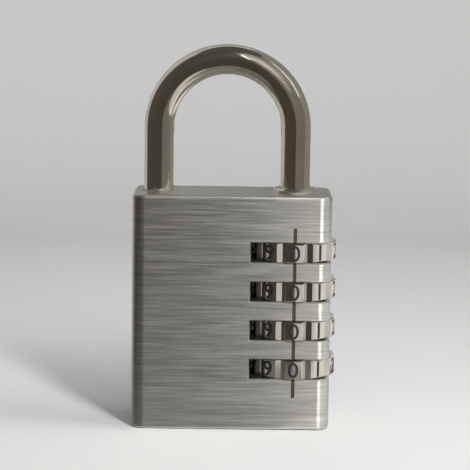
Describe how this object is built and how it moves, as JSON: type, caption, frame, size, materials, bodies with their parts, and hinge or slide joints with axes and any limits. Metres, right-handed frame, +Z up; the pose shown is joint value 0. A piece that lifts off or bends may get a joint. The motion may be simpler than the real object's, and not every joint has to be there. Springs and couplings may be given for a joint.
{
  "type": "combination padlock",
  "caption": "Solid block padlock with a round bent shackle and turning numbered dials along one side.",
  "frame": {"origin": "middle of the flat base of the body", "axes": "+Z up towards the shackle, +Y to the back, +X to the side with the dials"},
  "size_m": [0.0412, 0.0174, 0.0772],
  "materials": {
    "body_metal": "satin",
    "shackle_metal": "polished",
    "bush_metal": "polished",
    "dial_metal": "satin",
    "sleeve_brass": "satin",
    "spring_steel": "satin",
    "index_paint": "matte",
    "number_paint": "satin"
  },
  "bodies": {
    "housing": {"lock_body": "body_metal", "bottom_plate": "body_metal", "shackle_bush": "bush_metal", "spring_washer": "spring_steel", "reset_spring": "spring_steel", "detent_spring": "spring_steel"},
    "shackle_rod": {"shackle": "shackle_metal", "shackle_clip": "spring_steel"},
    "dial_ring_1": {"dial_1": "dial_metal", "sleeve_1": "sleeve_brass"},
    "dial_ring_2": {"dial_2": "dial_metal", "sleeve_2": "sleeve_brass"},
    "dial_ring_3": {"dial_3": "dial_metal", "sleeve_3": "sleeve_brass"},
    "dial_ring_4": {"dial_4": "dial_metal", "sleeve_4": "sleeve_brass"}
  },
  "joints": [
    {"name": "shackle_lift", "type": "slide", "parent": "housing", "child": "shackle_rod", "axis": [0, 0, 1], "range_m": [0, 0.0079]},
    {"name": "dial_1_turn", "type": "hinge", "parent": "housing", "child": "dial_ring_1", "pos_m": [0.0126, 0, 0.03625], "axis": [0, 0, 1], "continuous": true, "deforming": ["detent_spring"]},
    {"name": "dial_2_turn", "type": "hinge", "parent": "housing", "child": "dial_ring_2", "pos_m": [0.0126, 0, 0.02835], "axis": [0, 0, 1], "continuous": true, "deforming": ["detent_spring"]},
    {"name": "dial_3_turn", "type": "hinge", "parent": "housing", "child": "dial_ring_3", "pos_m": [0.0126, 0, 0.02045], "axis": [0, 0, 1], "continuous": true, "deforming": ["detent_spring"]},
    {"name": "dial_4_turn", "type": "hinge", "parent": "housing", "child": "dial_ring_4", "pos_m": [0.0126, 0, 0.01255], "axis": [0, 0, 1], "continuous": true, "deforming": ["detent_spring"]}
  ]
}
